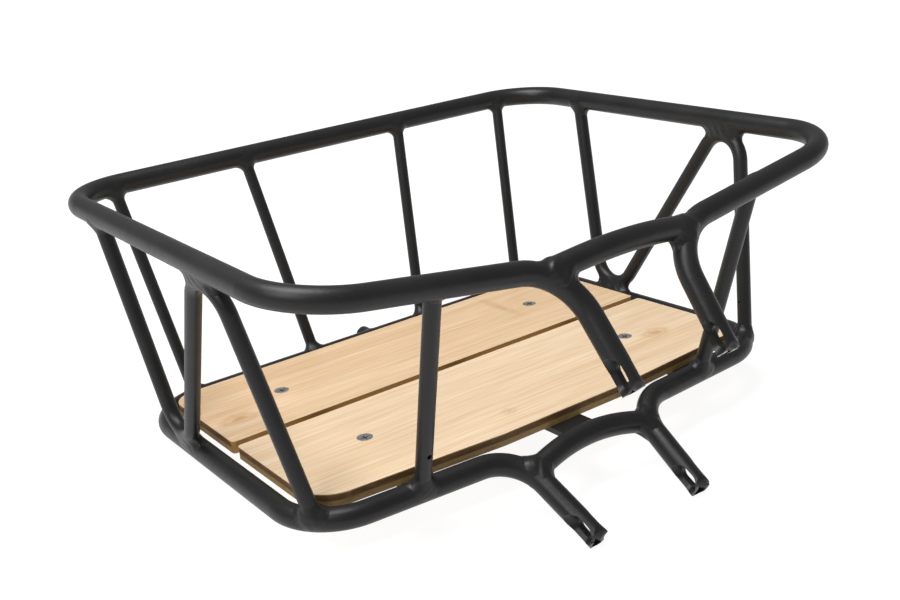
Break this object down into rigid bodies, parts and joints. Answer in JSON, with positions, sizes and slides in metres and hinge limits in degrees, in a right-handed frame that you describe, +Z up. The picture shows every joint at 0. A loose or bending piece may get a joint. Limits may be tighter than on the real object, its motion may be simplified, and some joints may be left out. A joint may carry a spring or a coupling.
{
  "type": "front cargo carrier",
  "caption": "Frame-mounted bicycle front basket of black welded tube with a bamboo deck and slotted head-tube legs.",
  "frame": {"origin": "centre of the head-tube mount, midway between the four slots in the legs", "axes": "+X the rider's right, +Y the way the bicycle travels, +Z up with the deck level as it is on the bicycle"},
  "size_m": [0.4952, 0.4375, 0.2316],
  "materials": {
    "frame": "satin black powder coat",
    "deck": "clear-oiled laminated bamboo",
    "screws": "zinc-plated steel"
  },
  "bodies": {
    "root": {"rim_tube": "frame", "base_tube": "frame", "upper_bridge": "frame", "lower_bridge": "frame", "front_strut_outer_left": "frame", "front_strut_outer_right": "frame", "front_strut_inner_left": "frame", "front_strut_inner_right": "frame", "side_truss_left": "frame", "side_truss_right": "frame", "rear_strut_left": "frame", "rear_strut_right": "frame", "centre_rail": "frame", "deck_rail_left": "frame", "deck_rail_right": "frame", "lamp_boss": "frame", "front_strut_welds": "frame", "side_truss_welds": "frame", "rear_strut_welds": "frame", "bridge_welds": "frame", "rail_welds": "frame", "deck_board_front": "deck", "deck_board_rear": "deck", "deck_screws": "screws", "deck_nuts": "screws"}
  },
  "joints": []
}
